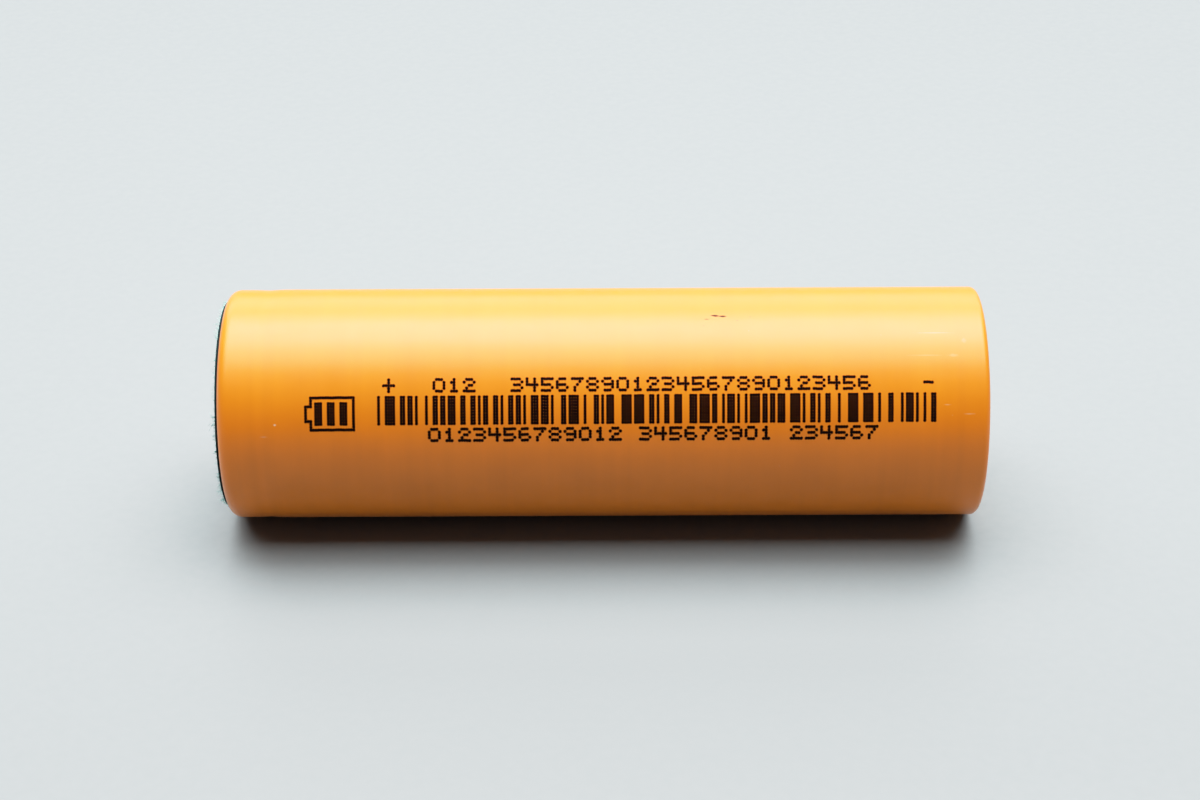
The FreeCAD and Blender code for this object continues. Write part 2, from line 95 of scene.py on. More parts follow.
WASHER_HOLE_RADIUS = 6.2
WASHER_SWELL = 0.03
WASHER_BEVEL = 0.015
WASHER_BOW = 0.02
RAGGED_RIM = 0.03
RAGGED_HOLE = 0.02
WASHER_SEGMENTS = 160

# Fibres fringe the whole edge. Longer ones grow in tufts, at these angles in degrees up from the front.
FRINGE_COUNT = 620
TUFT_ANGLES = (80, 70, 103, 18, -24, -38)
TUFT_COUNT = 12
TUFT_SPREAD = 0.05
TUFT_SIZE = 1.8

# The least and the most of each, and for the length also the commonest.
FIBRE_LENGTHS = (0.10, 0.52, 0.18)
FIBRE_LEANS = (-1.0, -0.35)
FIBRE_RADII = (0.016, 0.030)
FIBRE_TURN = 0.9
FIBRE_RISE = 0.3
FIBRE_ROOT = 0.04
FIBRE_SCATTER = 0.05
FIBRE_STEPS = 4
FIBRE_SEED = 17

# ---- Sizes and places of the print ---------------------------------------------------------------

# One ink jet dot, along the cell and round it, and how its outline differs from a plain rectangle.
DOT_LONG = 0.2274
DOT_ROUND = 0.2667
DOT_BLEED_LONG = 0.034
DOT_BLEED_ROUND = 0.018
DOT_HOLE = 0.034
DOT_ROUNDING = 0.065
DOT_DRIFT = 0.015
DRIFT_SEED = 4
INK_HEIGHT = 0.012

# How far round from the front the first row starts, and how much the rows climb for each millimetre along.
PRINT_TOP_ANGLE = math.radians(41.9)
PRINT_SKEW = 0.0025

# Rows and columns are counted in dots. Column 0 is the first bar.
UPPER_ROW, BAR_ROW, LOWER_ROW = 0, 6, 17
BAR_ROWS, BAR_COLUMNS = 10, 223
CHARACTER = 6
BAR_WIDTHS = (1, 1, 2, 2, 3, 4)
GAP_WIDTHS = (1, 1, 2, 2, 3)
BAR_SEED = 70
BARS_X = -20.1
PICTURE_X = -26.7
PLUS_X = -19.7
MINUS_X, MINUS_ROW = 29.2, 2

# Groups of digits: where each starts and how many it holds, then the lower row's, one character apart.
UPPER_GROUPS = ((-15.0, 3), (-8.1, 24))
LOWER_X = -15.5
LOWER_GROUPS = (13, 9, 6)

# ---- Camera and light ----------------------------------------------------------------------------

CAMERA_DISTANCE = 240.0
CAMERA_ELEVATION = math.radians(30.0)
CAMERA_ACROSS = 0.015
CAMERA_AIM_UP = 0.21
CAMERA_ROLL = 0.0044
LENS = 76.2
SENSOR = 36.0

# How the camera shows light, where full light is 1: the light that it shows as white, and lights
# paired with the tones that it shows them as.
BRIGHTEST = 2.0
SHOULDER = ((0.50, 0.50), (0.70, 0.66), (0.90, 0.76), (1.20, 0.87), (1.50, 0.955))

SOFTBOX_WHITE = (1.0, 0.995, 0.985)
PANEL_WHITE = (0.92, 0.985, 1.0)
ROOM_WHITE = (0.86, 0.93, 1.0)
ROOM_STRENGTH = 0.10
FLOOR_HALF_SIDE = 3000.0


# ---- Mesh helpers --------------------------------------------------------------------------------


def point(x, y, z):
    return Vector((x, y, z)) * MM


def on_cell(x, radius, angle):
    """A point round the cell. Angle 0 faces the front, -Y, and a quarter turn is the top."""
    return point(x, -radius * math.cos(angle), RADIUS + radius * math.sin(angle))


def smooth_noise(seed, count):
    """A gentle closed wave round a circle, the sum of count sines with seeded sizes and phases."""
    chance = random.Random(seed)
    waves = [(n, chance.uniform(0, 2 * math.pi), chance.uniform(0.4, 1.0)) for n in range(2, 2 + count)]
    total = sum(size for _, _, size in waves)
    return lambda angle: sum(size * math.sin(n * angle + phase) for n, phase, size in waves) / total


def add_object(name, builder, material, body=CELL, smooth=True):
    """Makes a mesh object from a finished bmesh, and lets it ride on a body of the cell."""
    mesh = bpy.data.meshes.new(name)
    bmesh.ops.recalc_face_normals(builder, faces=builder.faces)
    builder.to_mesh(mesh)
    builder.free()
    for polygon in mesh.polygons:
        polygon.use_smooth = smooth
    made = bpy.data.objects.new(name, mesh)
    bpy.context.scene.collection.objects.link(made)
    made.data.materials.append(material)
    if body:
        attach(made, body)
    return made


def lathe(profile, segments, shift):
    """A closed profile of (x, radius) turned round the axis. shift gives each point's way along and out."""
    builder = bmesh.new()
    rings = []
    for x, radius in profile:
        ring = []
        for k in range(segments):
            angle = 2 * math.pi * k / segments
            along, outwards = shift(x, radius, angle)
            ring.append(builder.verts.new(on_cell(x + along, radius + outwards, angle)))
        rings.append(ring)
    for ring, following in zip(rings, rings[1:] + rings[:1]):
        for k in range(segments):
            n = (k + 1) % segments
            builder.faces.new((ring[k], ring[n], following[n], following[k]))
    return builder


def rounded_corner(centre_x, centre_radius, size, start, end, steps):
    """Points on an arc in the (x, radius) plane, from one angle to another, in degrees."""
    for k in range(steps + 1):
        angle = math.radians(start + (end - start) * k / steps)
        yield centre_x + size * math.cos(angle), centre_radius + size * math.sin(angle)


def straight(first, last, steps):
    """Points along the barrel's side from first up to, but not at, last."""
    return [(first - (first - last) * k / steps, RADIUS) for k in range(steps)]


def tube(builder, points, radius, sides=5, taper=0.6):
    """A thin closed tube along a few points, narrower at its far end by the share taper."""
    rings = []
    for k, here in enumerate(points):
        ahead = points[min(k + 1, len(points) - 1)] - points[max(k - 1, 0)]
        side = ahead.orthogonal().normalized()
        up = ahead.cross(side).normalized()
        size = radius * (1.0 - taper * k / (len(points) - 1))
        turns = [2 * math.pi * n / sides for n in range(sides)]
        ring = [here + size * (math.cos(turn) * side + math.sin(turn) * up) for turn in turns]
        rings.append([builder.verts.new(place) for place in ring])
    for ring, following in zip(rings, rings[1:]):
        for n in range(sides):
            m = (n + 1) % sides
            builder.faces.new((ring[n], ring[m], following[m], following[n]))
    builder.faces.new(rings[0])
    builder.faces.new(rings[-1])


# ---- Material helpers ----------------------------------------------------------------------------


class Surface:
    """A material's nodes round one Principled shader. Coordinates are millimetres from the cell's axis."""

    def __init__(self, name, colour, roughness, metallic=0.0, **sockets):
        self.material = bpy.data.materials.new(name)
        self.material.use_nodes = True
        self.tree = self.material.node_tree
        self.shader = self.tree.nodes["Principled BSDF"]
        self.shader.inputs["Base Color"].default_value = (*colour, 1.0)
        self.shader.inputs["Roughness"].default_value = roughness
        self.shader.inputs["Metallic"].default_value = metallic
        for socket, value in sockets.items():
            self.shader.inputs[socket.replace("_", " ")].default_value = value
        coordinates = self.node("ShaderNodeTexCoord")
        scaled = self.node("ShaderNodeMapping")
        scaled.inputs["Scale"].default_value = (1 / MM, 1 / MM, 1 / MM)
        scaled.inputs["Location"].default_value = (0, 0, -RADIUS)
        self.join(coordinates.outputs["Object"], scaled.inputs["Vector"])
        self.mm = scaled.outputs["Vector"]
        self.normal = None

    def node(self, kind, **settings):
        made = self.tree.nodes.new(kind)
        for name, value in settings.items():
            setattr(made, name, value)
        return made

    def join(self, output, socket):
        self.tree.links.new(output, socket)

    def put(self, value, socket):
        """Links an output, or sets a plain value."""
        if isinstance(value, bpy.types.NodeSocket):
            self.join(value, socket)
        else:
            socket.default_value = value

    def math(self, operation, *values, clamp=False):
        made = self.node("ShaderNodeMath", operation=operation, use_clamp=clamp)
        for value, socket in zip(values, made.inputs):
            self.put(value, socket)
        return made.outputs[0]

    def axes(self):
        parts = self.node("ShaderNodeSeparateXYZ")
        self.join(self.mm, parts.inputs[0])
        return parts.outputs["X"], parts.outputs["Y"], parts.outputs["Z"]

    def vector(self, x, y, z):
        made = self.node("ShaderNodeCombineXYZ")
        for value, socket in zip((x, y, z), made.inputs):
            self.put(value, socket)
        return made.outputs[0]

    def length(self, a, b):
        """The distance that two sides of a right angle span."""
        squares = [self.math("MULTIPLY", side, side) for side in (a, b)]
        return self.math("SQRT", self.math("ADD", *squares))

    def stretched(self, along, across):
        """Coordinates scaled by one factor along the cell and another across it."""
        made = self.node("ShaderNodeMapping")
        made.inputs["Scale"].default_value = (along, across, across)
        self.join(self.mm, made.inputs["Vector"])
        return made.outputs["Vector"]

    def turned(self, fine, coarse):
        """Coordinates that change fast along the profile and slowly round the axis, as drawing marks do."""
        x, y, z = self.axes()
        profile = self.math("MULTIPLY", self.math("ADD", x, self.length(y, z)), fine)
        return self.vector(profile, self.math("MULTIPLY", y, coarse), self.math("MULTIPLY", z, coarse))

    def noise(self, scale, detail=3.0, vector=None, roughness=0.5, distortion=0.0):
        made = self.node("ShaderNodeTexNoise")
        made.inputs["Scale"].default_value = scale
        made.inputs["Detail"].default_value = detail
        made.inputs["Roughness"].default_value = roughness
        made.inputs["Distortion"].default_value = distortion
        self.join(vector or self.mm, made.inputs["Vector"])
        return made.outputs[0]

    def grains(self, scale):
        """Distance from the nearest of many scattered points."""
        made = self.node("ShaderNodeTexVoronoi")
        made.inputs["Scale"].default_value = scale
        self.join(self.mm, made.inputs["Vector"])
        return made.outputs["Distance"]

    def between(self, value, low, high, to_low=0.0, to_high=1.0):
        """Maps a value's range from low to high onto another, and clamps it there."""
        made = self.node("ShaderNodeMapRange")
        limits = {"From Min": low, "From Max": high, "To Min": to_low, "To Max": to_high}
        for socket, number in limits.items():
            made.inputs[socket].default_value = number
        self.join(value, made.inputs["Value"])
        return made.outputs["Result"]

    def blend(self, factor, first, second):
        """A colour between two, each a colour or an output."""
        made = self.node("ShaderNodeMix", data_type="RGBA")
        factor_socket, first_socket, second_socket = made.inputs[0], made.inputs[6], made.inputs[7]
        self.put(factor, factor_socket)
        for value, socket in ((first, first_socket), (second, second_socket)):
            self.put((*value, 1.0) if isinstance(value, tuple) else value, socket)
        return made.outputs[2]

    def paint(self, colour):
        self.join(colour, self.shader.inputs["Base Color"])

    def shade(self, roughness):
        self.join(roughness, self.shader.inputs["Roughness"])

    def raise_by(self, height, depth):
        """Adds a bump whose full height is depth millimetres, on top of those added before."""
        bump = self.node("ShaderNodeBump")
        bump.inputs["Distance"].default_value = depth * MM
        self.join(height, bump.inputs["Height"])
        if self.normal is not None:
            self.join(self.normal, bump.inputs["Normal"])
        self.normal = bump.outputs["Normal"]
        self.join(self.normal, self.shader.inputs["Normal"])


def darker(colour, share):
    """The colour times a share, which may also be over 1 to make it lighter."""
    return tuple(channel * share for channel in colour)


# ---- Materials of the outside --------------------------------------------------------------------

SLEEVE_ORANGE = (0.86, 0.215, 0.0045)
SCUFF_BROWN = (0.030, 0.010, 0.006)
# The pale of dust specks, and of scratches, where it is a painted highlight.
SPECK_AND_GLINT_PALE = (0.86, 0.62, 0.42)

# Marks on the sleeve: place along, degrees up from the front, half length, half height, colour, strength.
WEAR_AND_GLINTS = (
    (10.6, 77.0, 0.44, 0.16, SCUFF_BROWN, 0.95),
    (11.3, 76.5, 0.36, 0.15, SCUFF_BROWN, 0.95),
    (9.8, 74.5, 0.26, 0.09, SCUFF_BROWN, 0.7),
    (9.5, 70.0, 0.09, 0.06, SCUFF_BROWN, 0.6),
    (12.6, 73.5, 0.14, 0.07, SCUFF_BROWN, 0.5),
    (13.8, 76.0, 0.12, 0.07, SCUFF_BROWN, 0.5),
    (-29.4, 19.5, 0.13, 0.11, SPECK_AND_GLINT_PALE, 0.7),
    (-30.4, 13.5, 0.34, 0.09, SPECK_AND_GLINT_PALE, 0.2),
    # From here on, the pale streaks and patches at the right end are scratches whose paleness is a painted
    # highlight of the light they catch.
    (30.5, 65.0, 1.50, 0.07, SPECK_AND_GLINT_PALE, 0.22),
    (29.7, 52.5, 1.40, 0.07, SPECK_AND_GLINT_PALE, 0.14),
    (32.0, 52.5, 0.45, 0.16, SPECK_AND_GLINT_PALE, 0.16),
    (33.1, 60.5, 0.22, 0.30, SPECK_AND_GLINT_PALE, 0.14),
    (31.4, 28.0, 0.30, 0.06, SPECK_AND_GLINT_PALE, 0.2),
    (33.4, 23.5, 0.50, 0.06, SPECK_AND_GLINT_PALE, 0.25),
)


def stretch_tone(s):
    """Faint mottle, and rings where the film shrank unevenly."""
    mottle = s.noise(0.22, 4.0)
    rings = s.noise(1.0, 3.0, s.stretched(0.9, 0.02))
    tone = s.math("ADD", s.math("MULTIPLY", mottle, 0.6), s.math("MULTIPLY", rings, 0.4))
    return s.between(tone, 0.35, 0.65)


def bead_groove_shade(s, x):
    """Painted shade: how far the film is darkened in ripples over the bead groove, standing in for the
    shade on its slopes.
    """
    offset = s.math("DIVIDE", s.math("SUBTRACT", x, BEAD_X), BEAD_HALF_WIDTH)
    fade = s.math("POWER", 0.6, s.math("MULTIPLY", offset, offset))
    wave = s.math("COSINE", s.math("MULTIPLY", offset, 0.9 * math.pi))
    return s.between(s.math("MULTIPLY", wave, fade), -0.5, 1.0, 0.12, 0.0)


def add_wear_and_glints(s, colour, roughness, x, y, z):
    """Blends the table's marks into the colour, with ragged edges, and dulls the film where they are; the
    pale scratches among them carry a painted highlight.
    """
    angle = s.math("ARCTAN2", z, s.math("MULTIPLY", y, -1.0))
    ragged = s.math("MULTIPLY", s.math("SUBTRACT", s.noise(3.0, 2.0), 0.5), 1.2)
    for along, degrees, half_length, half_height, mark, strength in WEAR_AND_GLINTS:
        u = s.math("DIVIDE", s.math("SUBTRACT", x, along), half_length)
        v = s.math("MULTIPLY", s.math("SUBTRACT", angle, math.radians(degrees)), RADIUS / half_height)
        reach = s.math("ADD", s.math("ABSOLUTE", u), s.math("MULTIPLY", v, v))
        mask = s.between(s.math("ADD", reach, ragged), 1.3, 0.4)
        colour = s.blend(s.math("MULTIPLY", mask, strength, clamp=True), colour, mark)
        roughness = s.math("MAXIMUM", roughness, s.math("MULTIPLY", mask, strength))
    return colour, roughness


def dust_specks(s):
    """A few specks of dust, only in some patches."""
    patches = s.between(s.noise(0.35, 2.0), 0.52, 0.62)
    specks = s.between(s.grains(1.1), 0.045, 0.02)
    return s.math("MULTIPLY", s.math("MULTIPLY", specks, patches), 0.5)


def sleeve_film():
    """Satin orange shrink film, with uneven stretch, a fine orange-peel bump, scuffs, dust, scratches with
    a painted highlight and painted shade over the bead groove.
    """
    gloss = {"IOR": 1.5, "Specular_IOR_Level": 0.42, "Sheen_Weight": 0.1, "Sheen_Roughness": 0.4}
    s = Surface("sleeve_film", SLEEVE_ORANGE, 0.3, **gloss)
    x, y, z = s.axes()
    colour = s.blend(stretch_tone(s), darker(SLEEVE_ORANGE, 0.95), darker(SLEEVE_ORANGE, 1.04))
    # Painted shade in the ripples over the bead groove.
    colour = s.blend(bead_groove_shade(s, x), colour, darker(SLEEVE_ORANGE, 0.6))
    rubbed = s.noise(1.0, 2.0, s.stretched(0.06, 0.8))
    roughness = s.between(s.math("ADD", rubbed, s.noise(0.6, 2.0)), 0.7, 1.3, 0.31, 0.37)
    colour, roughness = add_wear_and_glints(s, colour, roughness, x, y, z)
    s.paint(s.blend(dust_specks(s), colour, SPECK_AND_GLINT_PALE))
    s.shade(roughness)
    s.raise_by(s.noise(2.2, 3.0), 0.0035)
    s.raise_by(s.noise(1.0, 2.0, s.stretched(0.7, 0.03)), 0.008)
    return s.material


def washer_paper():
    """Dark teal fish paper, mottled by its fibres."""
    teal = (0.004, 0.016, 0.018)
    s = Surface("washer_paper", teal, 0.8, Specular_IOR_Level=0.12)
    fibres = s.noise(5.0, 5.0, roughness=0.7, distortion=1.5)
    s.paint(s.blend(s.between(fibres, 0.4, 0.75), darker(teal, 0.6), (0.008, 0.030, 0.033)))
    s.shade(s.between(fibres, 0.3, 0.7, 0.62, 0.85))
    s.raise_by(fibres, 0.03)
    return s.material


def loose_fibre():
    """Pale teal paper fibre, uneven along its length."""
    pale = (0.48, 0.70, 0.66)
    s = Surface("loose_fibre", pale, 0.8)
    s.paint(s.blend(s.between(s.noise(3.0), 0.35, 0.65), (0.16, 0.42, 0.40), pale))
    s.raise_by(s.noise(30.0, 2.0), 0.004)
    return s.material


def print_ink():
    """Brown-black ink jet dots, a little paler and rougher here and there."""
    ink = (0.0055, 0.0018, 0.0014)
    s = Surface("print_ink", ink, 0.5, Specular_IOR_Level=0.02)
    cover = s.noise(4.0, 4.0)
    s.paint(s.blend(s.between(cover, 0.45, 0.75), ink, (0.012, 0.004, 0.003)))
    s.shade(s.between(cover, 0.3, 0.7, 0.42, 0.6))
    s.raise_by(s.noise(12.0, 2.0), 0.004)
    return s.material


def plated_steel(name, colour, low, high):
    """Nickel-plated steel with fine drawing marks round it and faint cloudy stains."""
    s = Surface(name, colour, (low + high) / 2, 1.0)
    marks = s.noise(1.0, 4.0, s.turned(9.0, 0.25), 0.65)
    cloud = s.noise(0.6, 4.0)
    s.paint(s.blend(s.between(cloud, 0.35, 0.7), colour, darker(colour, 0.92)))
    s.shade(s.between(s.math("ADD", marks, s.math("MULTIPLY", cloud, 0.5)), 0.5, 1.0, low, high))
    s.raise_by(marks, 0.004)
    return s.material


# ---- Materials of the sealed pieces --------------------------------------------------------------


def pressed_aluminium(name, colour):
    """Bright aluminium with the faint rings of its press tool."""
    s = Surface(name, colour, 0.33, 1.0)
    marks = s.noise(1.0, 4.0, s.turned(6.0, 0.4), 0.6)
    s.paint(s.blend(s.between(s.noise(0.9, 3.0), 0.35, 0.7), colour, darker(colour, 0.88)))
    s.shade(s.between(marks, 0.3, 0.7, 0.26, 0.44))
    s.raise_by(marks, 0.006)
    return s.material


def rolled_metal(name, colour, low, high):
    """Foil or strip with rolling lines along the cell."""
    s = Surface(name, colour, (low + high) / 2, 1.0)
    lines = s.noise(1.0, 4.0, s.stretched(0.15, 7.0), 0.65)
    s.paint(s.blend(s.between(s.noise(0.5, 3.0), 0.35, 0.7), colour, darker(colour, 0.9)))
    s.shade(s.between(lines, 0.3, 0.7, low, high))
    s.raise_by(lines, 0.003)
    return s.material


def moulded(name, colour, roughness):
    """Moulded polymer: a fine matt grain and a slight cloudiness."""
    s = Surface(name, colour, roughness)
    s.paint(s.blend(s.between(s.noise(0.8, 3.0), 0.35, 0.65), colour, darker(colour, 0.9)))
    s.shade(s.between(s.noise(2.5, 3.0), 0.3, 0.7, roughness - 0.07, roughness + 0.07))
    s.raise_by(s.noise(14.0, 3.0), 0.006)
    return s.material


def electrode_coating(name, colour, painted_glint):
    """A calendered powder coating: packed grains, each painted lighter at its middle as a painted glint."""
    s = Surface(name, colour, 0.6)
    grain = s.grains(18.0)
    # Painted glint: each grain's middle is lighter.
    s.paint(s.blend(s.between(grain, 0.1, 0.55), painted_glint, colour))
    s.shade(s.between(s.noise(6.0, 4.0), 0.3, 0.7, 0.45, 0.75))
    s.raise_by(grain, 0.006)
    return s.material


def woven_board(name, colour):
    """Glass-filled insulating board: a plain weave under resin."""
    s = Surface(name, colour, 0.5)
    strand_pair = 0.5
    _, y, z = s.axes()
    warp, weft = [s.math("SINE", s.math("MULTIPLY", side, 2 * math.pi / strand_pair)) for side in (y, z)]
    weave = s.math("MULTIPLY", warp, weft)
    s.paint(s.blend(s.between(weave, -1.0, 1.0), darker(colour, 0.75), darker(colour, 1.2)))
    s.shade(s.between(s.noise(3.0), 0.3, 0.7, 0.4, 0.6))
    s.raise_by(weave, 0.01)
    return s.material


def tape_film(name, colour, roughness):
    """Adhesive tape: glossy, with faint lines from its coating and trapped bubbles."""
    s = Surface(name, colour, roughness)
    lines = s.noise(1.0, 4.0, s.stretched(0.1, 2.0))
    s.paint(s.blend(s.between(lines, 0.35, 0.65), colour, darker(colour, 0.8)))
    s.shade(s.between(s.noise(2.0), 0.3, 0.7, roughness - 0.06, roughness + 0.08))
    s.raise_by(s.between(s.grains(1.6), 0.0, 0.12, 1.0, 0.0), 0.01)
    return s.material


def porous_film(name, colour):
    """Microporous separator: a silky white film drawn along the cell."""
    s = Surface(name, colour, 0.55)
    strands = s.noise(1.0, 5.0, s.stretched(0.3, 5.0), 0.7)
    s.paint(s.blend(s.between(strands, 0.3, 0.7), colour, darker(colour, 0.93)))
    s.shade(s.between(strands, 0.3, 0.7, 0.45, 0.65))
    s.raise_by(strands, 0.004)
    return s.material


def floor_card():
    """Pale grey-blue card with a barely visible tooth, and painted shade: a little darker in front and far
    from the cell, where the light falls off.
    """
    grey = (0.211, 0.240, 0.250)
    s = Surface("floor_card", grey, 0.5)
    x, y, _ = s.axes()
    reach = s.length(x, s.math("SUBTRACT", y, 10.0))
    mottle = s.blend(s.between(s.noise(0.03, 3.0), 0.3, 0.7), darker(grey, 0.99), darker(grey, 1.01))
    # Painted shade where the softbox's light falls off, in front and far from the cell.
    painted_falloff = s.math("ADD", s.between(reach, 15.0, 130.0, 0.0, 0.5), s.between(y, 30.0, -40.0, 0.0, 0.5))
    s.paint(s.blend(painted_falloff, mottle, darker(grey, 0.86)))
    s.shade(s.between(s.noise(1.0, 3.0), 0.3, 0.7, 0.5, 0.62))
    s.raise_by(s.noise(3.0, 4.0), 0.004)
    return s.material


def node_materials():
    """The material of each CAD node that stays in view."""
    can = plated_steel("nickel_plated_steel", (0.66, 0.62, 0.56), 0.24, 0.42)
    cap = plated_steel("cap_steel", (0.70, 0.66, 0.60), 0.20, 0.36)
    board = woven_board("insulator_board", (0.10, 0.16, 0.10))
    disc = pressed_aluminium("disc_aluminium", (0.80, 0.80, 0.81))
    film = porous_film("separator_film", (0.86, 0.86, 0.84))
    amber = tape_film("tab_tape", (0.62, 0.30, 0.04), 0.28)
    return {
        "steel_can": can,
        "positive_cap": cap,
        "crimp_gasket": moulded("gasket_polymer", (0.62, 0.61, 0.56), 0.5),
        "ptc_ring": moulded("ptc_composite", (0.035, 0.035, 0.037), 0.45),
        "pressure_disc_rim": disc,
        "pressure_disc_centre": disc,
        "cid_insulator": moulded("ring_polymer", (0.72, 0.70, 0.62), 0.5),
        "cid_plate": pressed_aluminium("plate_aluminium", (0.72, 0.72, 0.74)),
        "upper_insulator": board,
        "lower_insulator": board,
        "centre_pin": rolled_metal("pin_steel", (0.55, 0.55, 0.56), 0.25, 0.4),
        "separator_inner": film,
        "separator_outer": film,
        "anode_foil": rolled_metal("copper_foil", (0.82, 0.40, 0.24), 0.2, 0.35),
        "anode_coating": electrode_coating("graphite_coating", (0.022, 0.022, 0.024), (0.10, 0.10, 0.105)),
        "cathode_foil": rolled_metal("aluminium_foil", (0.82, 0.82, 0.83), 0.18, 0.32),
        "cathode_coating": electrode_coating("oxide_coating", (0.030, 0.028, 0.030), (0.07, 0.066, 0.07)),
        "anode_tab": rolled_metal("nickel_tab", (0.60, 0.57, 0.51), 0.25, 0.4),
        "cathode_tab": rolled_metal("aluminium_tab", (0.78, 0.78, 0.79), 0.25, 0.4),
        "anode_tab_tape": amber,
        "cathode_tab_tape": amber,
        "roll_wrap_tape": tape_film("wrap_tape", (0.04, 0.16, 0.36), 0.3),
    }


# ---- The sleeve and the washer -------------------------------------------------------------------


def build_sleeve(material):
    """The film shrunk over the can. It sags into the bead groove, and its lips pucker where they close."""
    top_centre, base_centre = TOP_X + TOP_CORNER, BASE_X - BASE_CORNER
    top_round, base_round = RADIUS - TOP_CORNER, RADIUS - BASE_CORNER
    bead_end = BEAD_X + BEAD_REACH
    outer = [(BASE_X, BASE_LIP_RADIUS), (BASE_X, (BASE_LIP_RADIUS + base_round) / 2)]
    outer += rounded_corner(base_centre, base_round, BASE_CORNER, 0, 90, steps=10)
    outer += straight(base_centre, bead_end, BARREL_RINGS)[1:]
    outer += straight(bead_end, top_centre, NECK_RINGS)
    outer += rounded_corner(top_centre, top_round, TOP_CORNER, 90, 180, steps=12)
    outer += [(TOP_X, (TOP_LIP_RADIUS + top_round) / 2), (TOP_X, TOP_LIP_RADIUS)]
    inner = [(TOP_X + FILM, TOP_LIP_RADIUS)]
    inner += rounded_corner(top_centre, top_round, TOP_CORNER - FILM, 180, 90, steps=6)
    inner += rounded_corner(base_centre, base_round, BASE_CORNER - FILM, 90, 0, steps=6)
    inner += [(BASE_X - FILM, BASE_LIP_RADIUS)]
    pucker = smooth_noise(seed=3, count=40)
    trim = smooth_noise(seed=5, count=14)
    sag = smooth_noise(seed=6, count=9)

    def shift(x, radius, angle):
        along = outwards = 0.0
        if x in (TOP_X, BASE_X) and radius < top_round:
            along = LIP_PUCKER * (1.0 + pucker(angle)) * (1.0 if x < 0 else -1.0)
        if radius in (TOP_LIP_RADIUS, BASE_LIP_RADIUS):
            outwards = LIP_WANDER * trim(angle + x)
        if radius > top_round:
            offset = (x - BEAD_X) / BEAD_HALF_WIDTH
            narrowed = NECK_STEP / (1.0 + math.exp(NECK_SHARPNESS * offset)) if x < 0 else 0.0
            dip = BEAD_SAG * (1.0 + BEAD_UNEVENNESS * sag(angle)) * math.exp(-offset * offset)
            outwards = -(dip + narrowed) * (radius - top_round) / TOP_CORNER
        return along, outwards

    sleeve = add_object("shrink_sleeve_film", lathe(outer + inner, SLEEVE_SEGMENTS, shift), material)
    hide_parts("shrink_sleeve")


def build_washer(material):
    """The punched paper ring, slightly bowed, and swollen a little beyond its nominal face."""
    face, back = WASHER_LOW.x - WASHER_SWELL, WASHER_HIGH.x
    middle = (WASHER_HOLE_RADIUS + WASHER_RADIUS) / 2
    profile = [
        (face, WASHER_HOLE_RADIUS + WASHER_BEVEL),
        (face, middle),
        (face, WASHER_RADIUS - WASHER_BEVEL),
        (face + WASHER_BEVEL, WASHER_RADIUS),
        (back - WASHER_BEVEL, WASHER_RADIUS),
        (back, WASHER_RADIUS - WASHER_BEVEL),
        (back, middle),
        (back, WASHER_HOLE_RADIUS + WASHER_BEVEL),
        (back - WASHER_BEVEL, WASHER_HOLE_RADIUS),
        (face + WASHER_BEVEL, WASHER_HOLE_RADIUS),
    ]
    bow = smooth_noise(seed=8, count=5)
    edge = smooth_noise(seed=9, count=50)

    def shift(x, radius, angle):
        return WASHER_BOW * bow(angle), (RAGGED_RIM if radius > middle else RAGGED_HOLE) * edge(angle)

    washer = add_object("insulating_washer_paper", lathe(profile, WASHER_SEGMENTS, shift), material)
    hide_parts("insulating_washer")


def build_fibres(material):
    """Frayed fibres all along the washer's punched edge, with a few tufts of longer ones."""
    chance = random.Random(FIBRE_SEED)
    builder = bmesh.new()
    roots = [(chance.uniform(0, 2 * math.pi), 1.0) for _ in range(FRINGE_COUNT)]
    for degrees in TUFT_ANGLES:
        middle = math.radians(degrees)
        roots += [(chance.gauss(middle, TUFT_SPREAD), TUFT_SIZE) for _ in range(TUFT_COUNT)]
    for angle, size in roots:
        x = WASHER_LOW.x - WASHER_SWELL + chance.uniform(0.0, FIBRE_SCATTER)
        length = size * chance.triangular(*FIBRE_LENGTHS)
        lean, turn = chance.uniform(*FIBRE_LEANS), chance.uniform(-FIBRE_TURN, FIBRE_TURN)
        points = []
        for k in range(FIBRE_STEPS + 1):
            t = k / FIBRE_STEPS
            radius = WASHER_RADIUS - FIBRE_ROOT + length * t * FIBRE_RISE
            curl = turn * t * t * length / WASHER_RADIUS
            points.append(on_cell(x + lean * length * t, radius, angle + curl))
        tube(builder, points, chance.uniform(*FIBRE_RADII) * MM)
    fibres = add_object("washer_fibres", builder, material)


# ---- Printed marks -------------------------------------------------------------------------------

DIGITS = {
    "0": (".###.", "#...#", "#...#", "#...#", ".###."),
    "1": ("..#..", ".##..", "..#..", "..#..", ".###."),
    "2": (".###.", "#...#", "..##.", ".#...", "#####"),
    "3": ("####.", "....#", ".###.", "....#", "####."),
    "4": ("#..#.", "#..#.", "#####", "...#.", "...#."),
    "5": ("#####", "#....", "####.", "....#", "####."),
    "6": (".###.", "#....", "####.", "#...#", ".###."),
    "7": ("#####", "...#.", "..#..", ".#...", ".#..."),
    "8": (".###.", "#...#", ".###.", "#...#", ".###."),
    "9": (".###.", "#...#", ".####", "....#", ".###."),
}
PLUS = ("..#..", "..#..", "#####", "..#..", "..#..")
MINUS = ("####",)
CELL_PICTURE = (
    "..##################",
    "..#................#",
    "..#.###..###..###..#",
    "###.###..###..###..#",
    "#...###..###..###..#",
    "#...###..###..###..#",
    "#...###..###..###..#",
    "#...###..###..###..#",
    "###.###..###..###..#",
    "..#.###..###..###..#",
    "..#................#",
    "..##################",
)


def column_at(x):
    """The dot column nearest a distance along the cell."""
    return round((x - BARS_X) / DOT_LONG)


